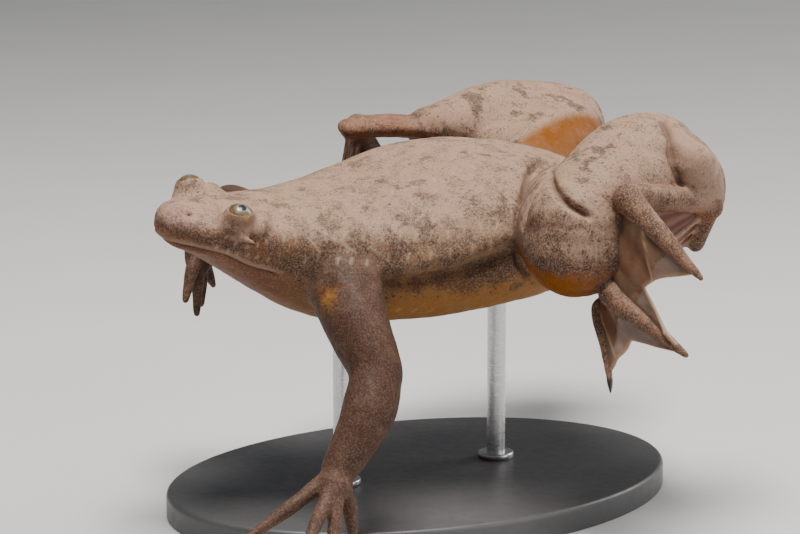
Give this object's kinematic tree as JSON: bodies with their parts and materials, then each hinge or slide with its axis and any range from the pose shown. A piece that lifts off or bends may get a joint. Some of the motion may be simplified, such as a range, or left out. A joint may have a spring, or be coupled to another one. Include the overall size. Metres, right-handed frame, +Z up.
{
  "type": "clawed frog model",
  "caption": "Still, life-size model of a clawed frog in a swimming pose, webbed hind feet folded forward, held on a small display stand.",
  "frame": {"origin": "middle of the stand base's underside, on the surface that the stand rests on", "axes": "+Z up, -Y the way the frog's head points, +X to the frog's left"},
  "size_m": [0.0599, 0.0642, 0.038],
  "materials": {
    "skin": "moist, smooth skin, beige-brown with fine dark stipple, orange under the legs",
    "web": "moist skin on the toes, thin tan webs between them",
    "eye": "wet cornea over a silvery iris and a round black pupil",
    "claw": "black horn",
    "stand_base": "satin charcoal lacquer",
    "stand_rod": "brushed"
  },
  "bodies": {
    "root": {"torso": "skin", "head": "skin", "eye_left": "eye", "eye_right": "eye", "thigh_left": "skin", "calf_left": "skin", "ankle_left": "skin", "foot_left": "web", "claw_left_1": "claw", "claw_left_2": "claw", "claw_left_3": "claw", "upper_arm_left": "skin", "forearm_left": "skin", "hand_left": "skin", "thigh_right": "skin", "calf_right": "skin", "ankle_right": "skin", "foot_right": "web", "claw_right_1": "claw", "claw_right_2": "claw", "claw_right_3": "claw", "upper_arm_right": "skin", "forearm_right": "skin", "hand_right": "skin", "stand_base": "stand_base", "stand_rod_front": "stand_rod", "stand_rod_back": "stand_rod"}
  },
  "joints": []
}
